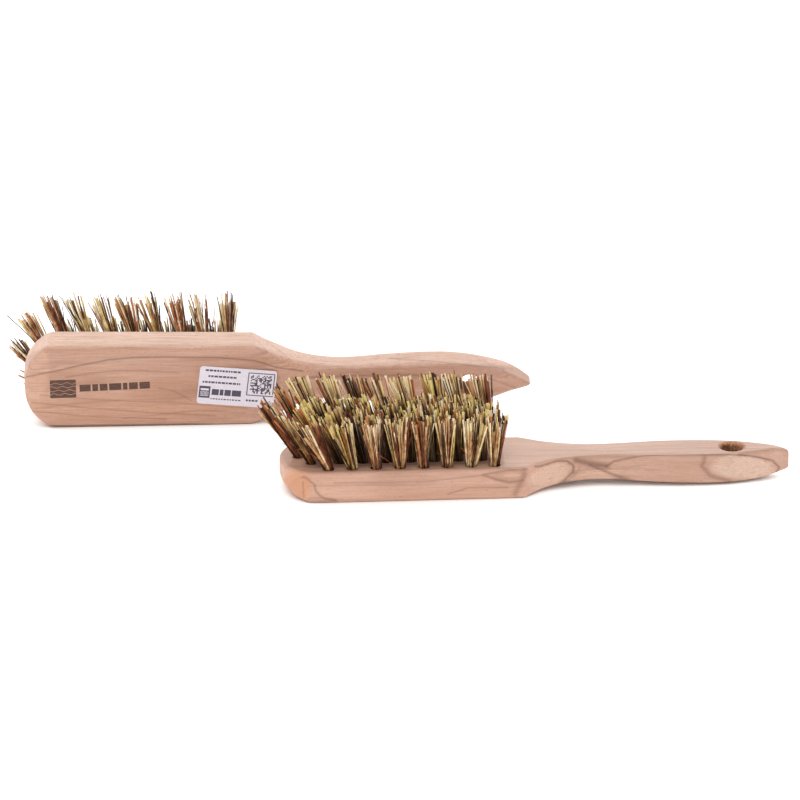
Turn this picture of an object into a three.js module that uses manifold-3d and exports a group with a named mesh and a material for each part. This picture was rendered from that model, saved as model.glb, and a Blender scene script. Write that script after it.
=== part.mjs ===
// A pair of one-piece wooden hand scrubbing brushes with stiff fibre tufts. Millimetres, Z up.
// The front brush lies on its smooth back with the tufts up. The rear brush stands on the lower long
// edge of its back, leaning a little forward on its splayed lower tufts, with its smooth back towards -Y.
import * as THREE from "three";
import { mergeVertices } from "three/addons/utils/BufferGeometryUtils.js";
import Module from "manifold-3d";

const wasm = await Module();
wasm.setup();

// ---- driving dimensions: 300 long from the rounded end of the head to the tip of the handle ----
const THICK = 19; // head and handle thickness
const HEAD_HALF = 28.3; // half width of the head at its rounded end
const HEAD_TAPER = 0.0114; // half width lost per mm towards the handle
const EDGE_R = 2; // rounding of the long edges
const HANG_X = 265; // hanging hole
const HANG_Y = 1.8;
const HANG_D = 12.5;
const HANG_RIM = 17;
const HOLE_DEPTH = 12; // blind tuft holes
const HOLE_R = 3.5; // to the corners of the six-sided hole
const TUFT_R = 3.15; // to the corners of the tuft in its hole
const ROW_STEP = 10.85; // distance between rows
// first tuft of the outer rows, tuft spacing along a row, and the three tufts at the rounded end
const GRID = {
  front: { first: 27.5, pitch: 13.83, end: 11, endSide: 18 },
  rear: { first: 24.5, pitch: 13.9, end: 9.5, endSide: 16 },
};
// how far the tips stand along the brush from their holes: [x of the hole, -y side row, +y side row]
const SPLAY = {
  front: [
    [11, -19, -19],
    [18, -16, -17],
    [27.5, -13, -15],
    [41.3, -7.2, -12.7],
    [55.2, -5.3, -11.6],
    [69, -3.8, -11.2],
    [82.8, -2.4, -9],
    [96.7, -1.1, -7],
    [110.5, 0, -5.4],
    [124.3, 0.4, -1.2],
  ],
  rear: [
    [9.5, -13, -13],
    [16, -13, -13],
    [24.5, -8.5, -8.5],
    [52.3, -7, -7],
    [94, -5, -5],
    [107.9, -2.5, -2.5],
    [121.8, 0, 0],
  ],
};
const FRONT_CORNER = 142; // where the straight side of the head ends
const REAR_CORNER = 136;
const LABEL = { x: 126.1, y: 0.8, w: 46, h: 25.4, t: 0.3, turn: -0.09, gap: 0.1 };
// where the two brushes lie
const FRONT = { x: -70.2, y: -149.6, yaw: 3.53 };
const REAR = { x: -223.2, y: -49.5, yaw: 3.05, lean: 9.45 };

// ---- wooden body: sections from the rounded end to the tip ----
// [x, half width] of the rounded end, then the rise of the underside there and the radius of its lower
// edge: front brush, rear brush. Both are hand-sanded, the front one further.
const END = [
  [0, 4, 9, 0.8, 4, 0.6],
  [0.6, 7.6, 7.2, 4.2, 1.9, 2],
  [1.6, 11.2, 5.9, 5, 0.8, 3],
  [3.6, 16.2, 4, 5.4, 0, 3.6],
  [6, 20, 2.4, 5.2, 0, 3.4],
  [9.2, 23.4, 1.4, 4.6, 0, 3.1],
  [12.5, 26, 0.6, 3.8, 0, 2.8],
  [16, 27.7, 0.1, 2.8, 0, 2.4],
  [19, 28.08, 0, 2.1, 0, 2.1],
];
// [x, -y side, +y side, underside z, lower edge radius] of the neck, grip and tip
const HANDLE = [
  [152, 18.1, 20.5, 1.2, 3.5],
  [158, 15.2, 17.7, 1.8, 4.5],
  [164, 13.1, 15.6, 2.3, 5.2],
  [170, 11.6, 14.2, 2.6, 5.5],
  [176, 10.5, 13.1, 2.8, 5.8],
  [182, 9.8, 12.6, 2.8, 5.8],
  [188, 9.6, 12.6, 2.8, 5.8],
  [194, 9.7, 13.0, 2.7, 5.5],
  [200, 10.1, 13.5, 2.5, 5],
  [212, 11.3, 14.9, 2.2, 4],
  [224, 12.2, 15.9, 1.9, 3],
  [236, 12.8, 16.1, 1.7, 2.5],
  [248, 12.9, 15.6, 1.4, 2.5],
  [256, 12.4, 14.9, 1.2, 2.5],
  [264, 11.4, 13.6, 1.1, 2.5],
  [270, 10.3, 12.3, 1.1, 2.8],
  [276, 8.9, 10.5, 1.3, 3],
  [282, 7.2, 8.2, 1.8, 3],
  [287, 5.4, 6.2, 2.4, 3],
  [291, 3.7, 4.8, 3.1, 2.6],
  [295, 1.9, 3.6, 3.9, 1.9],
  [298, 0.5, 2.7, 4.7, 1.1],
  [300, -0.4, 1.9, 5.4, 0.6],
];
// the two tips differ a little, as hand-sanded ones do: [x, -y side change, +y side change, change along x]
const FRONT_TIP = [
  [284, 0, 0, 0],
  [300, 0, 0, -1.6],
];
const REAR_TIP = [
  [256, 0, 0, 0],
  [264, 0, 0.7, 0],
  [276, 0, 1.8, 0],
  [287, 0, 2.2, 0.2],
  [291, -0.4, 2.3, 0.6],
  [295, -1.3, 2.4, 1],
  [298, -2.3, 2.5, 1.4],
  [300, -3.0, 2.2, 1.6],
];
const headHalf = (x) => HEAD_HALF - HEAD_TAPER * x;

// value k of a table of rows that start with x, between its rows
function between(table, x, k) {
  if (x <= table[0][0]) return table[0][k];
  for (let i = 1; i < table.length; i++) {
    const [a, b] = [table[i - 1], table[i]];
    if (x <= b[0]) return a[k] + ((b[k] - a[k]) * (x - a[0])) / (b[0] - a[0]);
  }
  return table[table.length - 1][k];
}

function stations(which, corner, tip) {
  const list = [];
  for (const [x, h, frontRise, frontR, rearRise, rearR] of END) {
    const [under, low] = which === "front" ? [frontRise, frontR] : [rearRise, rearR];
    const up = x < EDGE_R ? EDGE_R - Math.sqrt(EDGE_R ** 2 - (EDGE_R - x) ** 2) : 0;
    list.push([x, h, h, under, THICK - up, Math.max(0.5, EDGE_R - up), low]);
  }
  for (const x of [50, 90, corner - 4]) {
    list.push([x, headHalf(x), headHalf(x), 0, THICK, EDGE_R, EDGE_R]);
  }
  list.push([corner, headHalf(corner), headHalf(corner) - 0.3, 0, THICK, EDGE_R, EDGE_R]);
  const next = HANDLE[0];
  const mid = (corner + next[0]) / 2;
  list.push([
    mid,
    (headHalf(corner) + next[1]) / 2 - 0.5,
    (headHalf(corner) + next[2]) / 2,
    0.2,
    THICK,
    EDGE_R,
    2.6,
  ]);
  for (const [x, n0, p0, z, rb] of HANDLE) {
    const n = n0 + between(tip, x, 1);
    const p = p0 + between(tip, x, 2);
    const drop = x > 286 ? ((x - 286) / 14) ** 2 * 2.4 : 0;
    const rt = Math.min(EDGE_R, (n + p) / 2 - 0.2);
    const at = x + between(tip, x, 3);
    list.push([at, n, p, z, THICK - drop, rt, Math.min(rb, (n + p) / 2 - 0.1)]);
  }
  return list;
}

// One section: sixteen points round a rounded rectangle, seen from +X, anticlockwise.
function section([x, n, p, z0, z1, rt, rb]) {
  const out = [];
  const corners = [
    [p - rb, z0 + rb, rb, -90],
    [p - rt, z1 - rt, rt, 0],
    [-n + rt, z1 - rt, rt, 90],
    [-n + rb, z0 + rb, rb, 180],
  ];
  for (const [cy, cz, r, from] of corners) {
    for (let i = 0; i < 4; i++) {
      const a = ((from + i * 30) * Math.PI) / 180;
      out.push([x, cy + r * Math.cos(a), cz + r * Math.sin(a)]);
    }
  }
  return out;
}

function loft(rings) {
  const pos = [];
  const idx = [];
  const k = rings[0].length;
  for (const ring of rings) for (const v of ring) pos.push(...v);
  for (let s = 0; s < rings.length - 1; s++) {
    for (let i = 0; i < k; i++) {
      const a = s * k + i;
      const b = s * k + ((i + 1) % k);
      const c = a + k;
      const d = b + k;
      idx.push(a, b, d, a, d, c);
    }
  }
  const last = (rings.length - 1) * k;
  for (let i = 1; i < k - 1; i++) {
    idx.push(0, i + 1, i);
    idx.push(last, last + i, last + i + 1);
  }
  const g = new THREE.BufferGeometry();
  g.setAttribute("position", new THREE.Float32BufferAttribute(pos, 3));
  g.setIndex(idx);
  return g;
}

// ---- geometry to solid and back ----
function solid(geometry) {
  const g = geometry.clone();
  g.deleteAttribute("normal");
  g.deleteAttribute("uv");
  const m = mergeVertices(g, 1e-4);
  const s = new wasm.Manifold(
    new wasm.Mesh({
      numProp: 3,
      vertProperties: new Float32Array(m.attributes.position.array),
      triVerts: new Uint32Array(m.index.array),
    }),
  );
  if (s.volume() <= 0) throw new Error("a body is inside out");
  return s;
}

function geometryOf(s) {
  const m = s.getMesh();
  const g = new THREE.BufferGeometry();
  g.setAttribute("position", new THREE.BufferAttribute(new Float32Array(m.vertProperties), 3));
  g.setIndex(new THREE.BufferAttribute(new Uint32Array(m.triVerts), 1));
  g.computeVertexNormals();
  return g;
}

function material(color, roughness) {
  return new THREE.MeshStandardMaterial({ color, roughness, metalness: 0, flatShading: true });
}

// ---- tuft layout: five staggered rows on the head ----
function layout(which) {
  const { first, pitch, end, endSide } = GRID[which];
  const rows = [];
  for (let row = 0; row < 5; row++) {
    const y = (row - 2) * ROW_STEP;
    const list = [];
    if (row === 0 || row === 4) {
      for (let i = 0; i < 8; i++) list.push(first + pitch * i);
    } else if (row === 2) {
      list.push(end);
      for (let i = 0; i < 8; i++) list.push(first + pitch * i);
    } else {
      list.push(endSide);
      for (let i = 0; i < 7; i++) list.push(first + pitch * (i + 0.5));
    }
    rows.push(list.map((x, i) => ({ x, y: y * (1 - 0.0004 * x), row, atEnd: i === 0 && row > 0 && row < 4 })));
  }
  return rows;
}

// A six-sided ring, a corner on +X.
function ring(cx, cy, z, rx, ry = rx) {
  const out = [];
  for (let i = 0; i < 6; i++) {
    const a = (i * Math.PI) / 3;
    out.push([cx + rx * Math.cos(a), cy + ry * Math.sin(a), z]);
  }
  return out;
}

// A tuft stands straight in its hole, then leans and opens out to its tip.
function tuft(t, tip) {
  const rings = [
    ring(t.x, t.y, THICK - HOLE_DEPTH + 0.3, TUFT_R),
    ring(t.x, t.y, THICK + 0.4, TUFT_R),
    ring(
      t.x + tip.dx * 0.45,
      t.y + tip.dy * 0.45,
      THICK + 0.5 * tip.h,
      TUFT_R + (tip.r - TUFT_R) * 0.5,
      TUFT_R + (Math.min(tip.r, 6.6) - TUFT_R) * 0.5,
    ),
    ring(t.x + tip.dx, t.y + tip.dy, THICK + tip.h, tip.r, Math.min(tip.r, 6.6)),
  ];
  return loft(rings);
}

// Where the tip of a tuft stands from its hole.
function tipOf(t, which) {
  const outer = t.row === 0 || t.row === 4;
  const side = Math.sign(t.row - 2);
  const dx =
    (between(SPLAY[which], t.x, 1) * (4 - t.row)) / 4 + (between(SPLAY[which], t.x, 2) * t.row) / 4;
  if (which === "front") {
    if (t.atEnd) return { dx, dy: side * 14, h: 33 };
    return { dx, dy: side * (outer ? 17.5 : 5.2), h: outer ? 33.5 : 29.3 };
  }
  if (t.atEnd) return { dx, dy: side * 8, h: 32.5 };
  return { dx, dy: t.row === 0 ? -8 : t.row === 4 ? 9.6 : side * 4, h: outer ? 34 : 31 };
}

function tufts(which) {
  const rows = layout(which);
  const named = [];
  const outerNames = which === "front" ? ["near", "far"] : ["upper", "lower"];
  rows.forEach((list, row) => {
    const tips = list.map((t) => tipOf(t, which));
    if (row === 0 || row === 4) {
      list.forEach((t, i) => {
        named.push({
          name: which + "_tuft_" + outerNames[row ? 1 : 0] + "_" + (i + 1),
          solid: solid(tuft(t, { ...tips[i], r: 5.6 })),
        });
      });
      return;
    }
    const end = list.length - 1;
    named.push({ name: which + "_tuft_end_" + row, solid: solid(tuft(list[0], { ...tips[0], r: 5.2 })) });
    named.push({
      name: which + "_tuft_neck_" + row,
      solid: solid(tuft(list[end], { ...tips[end], r: 5.2 })),
    });
    // the tufts between them open into each other near their tips
    let joined = null;
    for (let i = 1; i < end; i++) {
      const gapBefore = i > 1 ? list[i].x + tips[i].dx - list[i - 1].x - tips[i - 1].dx : 0;
      const gapAfter = i < end - 1 ? list[i + 1].x + tips[i + 1].dx - list[i].x - tips[i].dx : 0;
      const r = Math.max(gapBefore, gapAfter) / 2 + 0.7;
      const one = solid(tuft(list[i], { ...tips[i], r }));
      joined = joined ? joined.add(one) : one;
    }
    const where = (which === "front" ? ["near", "middle", "far"] : ["upper", "middle", "lower"])[row - 1];
    named.push({ name: which + "_tufts_inner_" + where, solid: joined });
  });
  return named;
}

// ---- one brush ----
function woodOf(which, corner, tip) {
  let body = solid(loft(stations(which, corner, tip).map(section)));
  for (const list of layout(which)) {
    for (const t of list) {
      const cut = new THREE.CylinderGeometry(HOLE_R, HOLE_R, HOLE_DEPTH + 2, 6);
      cut.rotateX(Math.PI / 2);
      cut.rotateZ(Math.PI / 2);
      cut.translate(t.x, t.y, THICK - HOLE_DEPTH + (HOLE_DEPTH + 2) / 2);
      body = body.subtract(solid(cut));
    }
  }
  const rim = (HANG_RIM - HANG_D) / 2;
  const profile = [
    [0, -2],
    [HANG_RIM / 2 + 2, -2],
    [HANG_RIM / 2 + 0.4, 0.3],
    [HANG_D / 2 + rim * 0.35, 1.2],
    [HANG_D / 2, 3],
    [HANG_D / 2, THICK - 2.4],
    [HANG_D / 2 + rim * 0.35, THICK - 0.9],
    [HANG_RIM / 2, THICK],
    [HANG_RIM / 2 + 2, THICK + 2],
    [0, THICK + 2],
  ].map(([r, z]) => new THREE.Vector2(r, z));
  const bore = new THREE.LatheGeometry(profile, 20);
  bore.rotateX(Math.PI / 2);
  bore.translate(HANG_X, HANG_Y, 0);
  return body.subtract(solid(bore));
}

function brush(which, corner, tip) {
  const group = new THREE.Group();
  const wood = new THREE.Mesh(geometryOf(woodOf(which, corner, tip)), material(0xd9ad8f, 0.6));
  wood.name = which + "_brush_wood";
  group.add(wood);
  const shades = [0xb79a5a, 0x8a6a3c, 0xc8b77a, 0x74512f];
  tufts(which).forEach((t, i) => {
    const m = new THREE.Mesh(geometryOf(t.solid), material(shades[i % shades.length], 0.8));
    m.name = t.name;
    group.add(m);
  });
  return group;
}

const root = new THREE.Group();

const front = brush("front", FRONT_CORNER, FRONT_TIP);
front.rotation.z = (FRONT.yaw * Math.PI) / 180;
front.position.set(FRONT.x, FRONT.y, 0);
root.add(front);

// the rear brush: y of the brush points down, its thickness points away
const rear = brush("rear", REAR_CORNER, REAR_TIP);
const shape = new THREE.Shape();
{
  const { w, h } = LABEL;
  const r = 2;
  shape.moveTo(-w / 2 + r, -h / 2);
  shape.lineTo(w / 2 - r, -h / 2);
  shape.absarc(w / 2 - r, -h / 2 + r, r, -Math.PI / 2, 0, false);
  shape.lineTo(w / 2, h / 2 - r);
  shape.absarc(w / 2 - r, h / 2 - r, r, 0, Math.PI / 2, false);
  shape.lineTo(-w / 2 + r, h / 2);
  shape.absarc(-w / 2 + r, h / 2 - r, r, Math.PI / 2, Math.PI, false);
  shape.lineTo(-w / 2, -h / 2 + r);
  shape.absarc(-w / 2 + r, -h / 2 + r, r, Math.PI, Math.PI * 1.5, false);
}
const labelGeometry = new THREE.ExtrudeGeometry(shape, { depth: LABEL.t, bevelEnabled: false, curveSegments: 3 });
labelGeometry.rotateZ(-LABEL.turn);
labelGeometry.translate(LABEL.x, LABEL.y, -LABEL.t - LABEL.gap);
const label = new THREE.Mesh(geometryOf(solid(labelGeometry)), material(0xd8d4dc, 0.5));
label.name = "rear_brush_label";
rear.add(label);

const stand = new THREE.Matrix4().makeRotationX(-Math.PI / 2); // brush y down, brush z away
const level = new THREE.Matrix4().makeRotationY(HEAD_TAPER); // its lower edge level
const REAR_DROP = 0.329; // the rounding of the edge it stands on
const lift = new THREE.Matrix4().makeTranslation(0, 0, HEAD_HALF);
const lean = new THREE.Matrix4().makeRotationX((REAR.lean * Math.PI) / 180);
const turn = new THREE.Matrix4().makeRotationZ((REAR.yaw * Math.PI) / 180);
const place = new THREE.Matrix4().makeTranslation(REAR.x, REAR.y, -REAR_DROP);
rear.applyMatrix4(place.multiply(turn).multiply(lean).multiply(lift).multiply(level).multiply(stand));
root.add(rear);

// the origin is under the middle of the pair
root.updateMatrixWorld(true);
const box = new THREE.Box3().setFromObject(root, true);
const shift = new THREE.Vector3(-(box.min.x + box.max.x) / 2, -(box.min.y + box.max.y) / 2, -box.min.z);
const pair = new THREE.Group();
root.position.copy(shift);
pair.add(root);
pair.updateMatrixWorld(true);

export default pair;
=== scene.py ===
import math

import bpy
import numpy as np
from mathutils import Euler, Matrix, Vector


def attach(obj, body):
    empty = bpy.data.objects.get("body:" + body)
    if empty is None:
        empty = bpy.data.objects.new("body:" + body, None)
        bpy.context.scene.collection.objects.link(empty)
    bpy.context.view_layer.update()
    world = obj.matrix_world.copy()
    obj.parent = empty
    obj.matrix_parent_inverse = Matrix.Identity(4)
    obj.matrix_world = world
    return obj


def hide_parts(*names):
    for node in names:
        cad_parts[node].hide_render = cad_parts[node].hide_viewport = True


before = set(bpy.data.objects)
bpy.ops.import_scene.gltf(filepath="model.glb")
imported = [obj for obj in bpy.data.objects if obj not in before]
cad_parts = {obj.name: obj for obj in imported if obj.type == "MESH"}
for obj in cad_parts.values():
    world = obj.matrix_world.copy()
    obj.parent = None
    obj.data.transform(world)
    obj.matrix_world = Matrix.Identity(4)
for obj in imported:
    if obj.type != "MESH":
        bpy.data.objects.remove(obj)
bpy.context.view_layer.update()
MM = 0.001

# ---------------------------------------------------------------- where the brushes lie (mm, row frame)
# brush coordinates: x from the rounded end to the tip, y across, z from the smooth back to the tufted face
FRONT = np.array(
    [
        [0.998103, -0.061571, 0.0, -66.833599],
        [0.061571, 0.998103, 0.0, -58.626627],
        [0.0, 0.0, 1.0, 0.0],
        [0, 0, 0, 1],
    ]
)
REAR = np.array(
    [
        [0.998419, -0.020119, -0.052485, -219.586371],
        [0.055073, 0.163337, 0.985032, 36.833467],
        [-0.011245, -0.986365, 0.164187, 27.586948],
        [0, 0, 0, 1],
    ]
)
THICK = 19.0
HEAD_HALF = 28.3
TAPER = 0.0114
EDGE_R = 2.0
HANG = (265.0, 1.8)
HOLE_DEPTH = 12.0


def place(m, pts):
    pts = np.asarray(pts, float)
    return (pts @ m[:3, :3].T + m[:3, 3]) * MM


# ---------------------------------------------------------------- small helpers
def pchip(xs, ys, q):
    """Monotone cubic through (xs, ys)."""
    xs, ys, q = (np.asarray(a, float) for a in (xs, ys, q))
    h = np.diff(xs)
    d = np.diff(ys) / h
    m = np.zeros_like(xs)
    m[0], m[-1] = d[0], d[-1]
    for i in range(1, len(xs) - 1):
        if d[i - 1] * d[i] > 0:
            w1, w2 = 2 * h[i] + h[i - 1], h[i] + 2 * h[i - 1]
            m[i] = (w1 + w2) / (w1 / d[i - 1] + w2 / d[i])
    i = np.clip(np.searchsorted(xs, q) - 1, 0, len(h) - 1)
    t = (q - xs[i]) / h[i]
    t2, t3 = t * t, t * t * t
    return (
        (2 * t3 - 3 * t2 + 1) * ys[i]
        + (t3 - 2 * t2 + t) * h[i] * m[i]
        + (-2 * t3 + 3 * t2) * ys[i + 1]
        + (t3 - t2) * h[i] * m[i + 1]
    )


def mesh_object(name, verts, faces, mats, face_mats=None, smooth=True):
    me = bpy.data.meshes.new(name)
    me.from_pydata([tuple(v) for v in verts], [], [tuple(f) for f in faces])
    for m in mats:
        me.materials.append(m)
    if face_mats is not None:
        me.polygons.foreach_set("material_index", np.asarray(face_mats, np.int32))
    me.polygons.foreach_set("use_smooth", [smooth] * len(me.polygons))
    me.validate()
    me.update()
    ob = bpy.data.objects.new(name, me)
    bpy.context.scene.collection.objects.link(ob)
    return ob


# ---------------------------------------------------------------- wooden body
END = [
    (0, 0), (0.15, 3.6), (0.6, 7.6), (1.6, 11.6), (3.6, 16.5), (6, 20.1), (9.2, 23.5), (12.5, 26.1), (16, 27.8), (19, 28.08),
]
HANDLE = [  # x, -y side, +y side, underside, lower edge radius
    (152, 18.1, 20.5, 1.2, 3.5),
    (158, 15.2, 17.7, 1.8, 4.5),
    (164, 13.1, 15.6, 2.3, 5.2),
    (170, 11.6, 14.2, 2.6, 5.5),
    (176, 10.5, 13.1, 2.8, 5.8),
    (182, 9.8, 12.6, 2.8, 5.8),
    (188, 9.6, 12.6, 2.8, 5.8),
    (194, 9.7, 13.0, 2.7, 5.5),
    (200, 10.1, 13.5, 2.5, 5),
    (212, 11.3, 14.9, 2.2, 4),
    (224, 12.2, 15.9, 1.9, 3),
    (236, 12.8, 16.1, 1.7, 2.5),
    (248, 12.9, 15.6, 1.4, 2.5),
    (256, 12.4, 14.9, 1.2, 2.5),
    (264, 11.4, 13.6, 1.1, 2.5),
    (270, 10.3, 12.3, 1.1, 2.8),
    (276, 8.9, 10.5, 1.3, 3),
    (282, 7.2, 8.2, 1.8, 3),
    (287, 5.4, 6.2, 2.4, 3),
    (291, 3.7, 4.8, 3.1, 2.6),
    (295, 1.9, 3.6, 3.9, 2.2),
    (298, 0.6, 2.6, 4.7, 1.6),
    (299.4, -0.1, 2.1, 5.2, 1.2),
    (300, -0.75, 1.3, 5.4, 1.0),
]
# small changes of each tip: x, -y side, +y side, along x
TIP = {
    "front": [(284, 0, 0, 0), (300, 0, 0, -1.6)],
    "rear": [
        (256, 0, 0, 0), (264, 0, 0.7, 0), (276, 0, 1.8, 0), (287, 0, 2.2, 0.2), (291, -0.4, 2.3, 0.6), (295, -1.3, 2.4, 1),
        (298, -2.3, 2.5, 1.4), (300, -3.0, 2.2, 1.6),
    ],
}


def tip_change(which, x, k):
    t = TIP[which]
    return np.interp(x, [r[0] for r in t], [r[k] for r in t])


def half(x):
    return HEAD_HALF - TAPER * x


def sides(which, corner, x):
    """The two outlines, n on the -y side and p on the +y side, at stations x."""
    x = np.asarray(x, float)
    n = np.zeros_like(x)
    end = x <= 19
    es = np.array([(math.sqrt(a), b) for a, b in END])
    n[end] = pchip(es[:, 0], es[:, 1], np.sqrt(np.clip(x[end], 0, None)))
    body = (x > 19) & (x <= corner)
    n[body] = half(x[body])
    p = n.copy()
    tail = x > corner
    mid = (corner + 152) / 2
    hx = np.array([corner, mid] + [h[0] for h in HANDLE])
    hn = np.array([half(corner), (half(corner) + 18.1) / 2 - 0.5] + [h[1] for h in HANDLE])
    hp = np.array([half(corner) - 0.3, (half(corner) + 20.5) / 2] + [h[2] for h in HANDLE])
    n[tail] = pchip(hx, hn, x[tail])
    p[tail] = pchip(hx, hp, x[tail])
    n[tail] += tip_change(which, x[tail], 1)
    p[tail] += tip_change(which, x[tail], 2)
    return n, p


def wood_body(which, corner):
    xs = [0.004, 0.03, 0.09, 0.18, 0.32, 0.5, 0.75, 1.05, 1.4, 1.8, 2.3, 2.9, 3.6, 4.4, 5.2, 6, 7, 8, 9.2]
    xs += list(np.arange(10.4, 17, 1.1)) + list(np.arange(18, corner - 2, 4.0))
    xs += [corner - 1.6, corner - 0.7, corner - 0.2, corner + 0.15, corner + 0.6, corner + 1.4]
    xs += list(np.arange(corner + 2.6, 276, 1.5)) + list(np.arange(276, 297, 0.9))
    xs += [297.4, 298, 298.5, 298.9, 299.2, 299.5, 299.7, 299.85, 299.95, 299.99]
    xs = np.array(sorted(xs))
    n, p = sides(which, corner, xs)
    # soften the sharp side corner a little
    for arr in (n, p):
        i = np.argmin(abs(xs - corner))
        arr[i - 1 : i + 2] -= np.array([0.05, 0.22, 0.05])
    # the underside rises towards the rounded end, more so on the front brush
    ex, ez, er = [0, 19], [0, 0], [4.0, EDGE_R]
    if which == "front":
        ex = [0, 0.6, 1.6, 3.6, 6, 9.2, 12.5, 16, 19]
        ez = [7.2, 6.6, 5.7, 4.0, 2.5, 1.5, 0.7, 0.15, 0]
        er = [3, 3.6, 4.2, 4.6, 4.6, 4.2, 3.6, 2.7, 2.1]
    tx = [*ex, corner, *[h[0] for h in HANDLE]]
    z0 = np.interp(xs, tx, [*ez, 0, *[h[3] for h in HANDLE]])
    rb = np.interp(xs, tx, [*er, EDGE_R, *[h[4] for h in HANDLE]])
    z0 = np.convolve(np.pad(z0, 4, "edge"), np.ones(9) / 9, "valid")
    rb = np.convolve(np.pad(rb, 4, "edge"), np.ones(9) / 9, "valid")
    rt = np.interp(xs, [0, corner, corner + 20, 190, 240, 300], [EDGE_R, EDGE_R, 1.8, 2.2, 2.4, 2.4])
    drop = np.where(xs > 286, ((xs - 286) / 14) ** 2 * 2.4, 0)
    # outline polyline for true distances
    dense = np.concatenate([np.linspace(0, 4, 90) ** 2, np.arange(16.5, 290, 0.7), np.linspace(290, 300, 40)])
    dn, dp = sides(which, corner, dense)
    poly = np.concatenate([np.c_[dense, -dn], np.c_[dense, dp][::-1]])
    a, b = poly, np.roll(poly, -1, 0)
    ab = b - a
    ll = (ab**2).sum(1) + 1e-12

    def dist(pts):
        out = np.empty(len(pts))
        for k in range(0, len(pts), 400):
            q = pts[k : k + 400, None, :]
            t = np.clip(((q - a) * ab).sum(2) / ll, 0, 1)
            out[k : k + 400] = np.sqrt((((a + t[..., None] * ab) - q) ** 2).sum(2).min(1))
        return out

    frac = np.array([0, 0.02, 0.07, 0.15, 0.26, 0.4, 0.56, 0.74, 0.95, 1.2, 1.6, 2.1, 2.8, 3.7, 5.0, 6.6])
    walls = 3
    loops = []
    xout = xs + tip_change(which, xs, 3)
    for i, x in enumerate(xs):
        w = n[i] + p[i]
        d = frac * min(1.0, 0.5 * w / 7.2)
        d = np.concatenate([d, np.linspace(d[-1], w / 2, 6)[1:]])
        y = np.concatenate([-n[i] + d, (p[i] - d)[::-1][1:]])
        q = np.c_[np.full(len(y), x), y]
        dd = dist(q)

        def round_(r):
            r = max(r, 0.05)
            k = np.clip(r - dd, 0, r)
            return r - np.sqrt(np.clip(r * r - k * k, 0, None))

        room = THICK - drop[i] - z0[i]
        top = THICK - drop[i] - round_(rt[i])
        bot = z0[i] + round_(min(rb[i], room - rt[i] - 1))
        x = float(xout[i])
        ring = [(x, yy, zz) for yy, zz in zip(y, top)]
        for k in range(1, walls + 1):
            f = k / (walls + 1)
            ring.append((x, y[-1], top[-1] * (1 - f) + bot[-1] * f))
        ring += [(x, yy, zz) for yy, zz in zip(y[::-1], bot[::-1])]
        for k in range(1, walls + 1):
            f = k / (walls + 1)
            ring.append((x, y[0], bot[0] * (1 - f) + top[0] * f))
        loops.append(ring)
    k = len(loops[0])
    verts = [v for r in loops for v in r]
    faces = []
    for s in range(len(loops) - 1):
        for i in range(k):
            j = (i + 1) % k
            faces.append((s * k + i, (s + 1) * k + i, (s + 1) * k + j, s * k + j))
    faces.append(tuple(range(k)))
    faces.append(tuple(reversed(range((len(loops) - 1) * k, len(loops) * k))))
    return verts, faces


GRID = {"front": (27.5, 13.83, 11.0, 18.0), "rear": (24.5, 13.9, 9.5, 16.0)}
SPLAY = {
    "front": [
        (11, -19, -19), (18, -16, -17), (27.5, -13, -15), (41.3, -7.2, -12.7), (55.2, -5.3, -11.6),
        (69, -3.8, -11.2), (82.8, -2.4, -9), (96.7, -1.1, -7), (110.5, 0, -6.2), (124.3, 0.4, -5.2),
    ],
    "rear": [
        (9.5, -13, -13), (16, -13, -13), (24.5, -8.5, -8.5), (52.3, -7, -7), (94, -5, -5), (107.9, -2.5, -2.5), (121.8, 0, 0),
    ],
}


def layout(which):
    first, pitch, end, end_side = GRID[which]
    rows = []
    for row in range(5):
        y = (row - 2) * 10.85
        if row in (0, 4):
            xs = [first + pitch * i for i in range(8)]
        elif row == 2:
            xs = [end] + [first + pitch * i for i in range(8)]
        else:
            xs = [end_side] + [first + pitch * (i + 0.5) for i in range(7)]
        rows.append([(x, y * (1 - 0.0004 * x)) for x in xs])
    return rows


def lathe_cutter(profile, cx, cy, sides_=40):
    verts, faces = [], []
    for r, z in profile:
        for i in range(sides_):
            t = 2 * math.pi * i / sides_
            verts.append((cx + r * math.cos(t), cy + r * math.sin(t), z))
    for s in range(len(profile) - 1):
        for i in range(sides_):
            j = (i + 1) % sides_
            faces.append((s * sides_ + i, s * sides_ + j, (s + 1) * sides_ + j, (s + 1) * sides_ + i))
    faces.append(tuple(reversed(range(sides_))))
    faces.append(tuple(range((len(profile) - 1) * sides_, len(profile) * sides_)))
    return verts, faces


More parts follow.
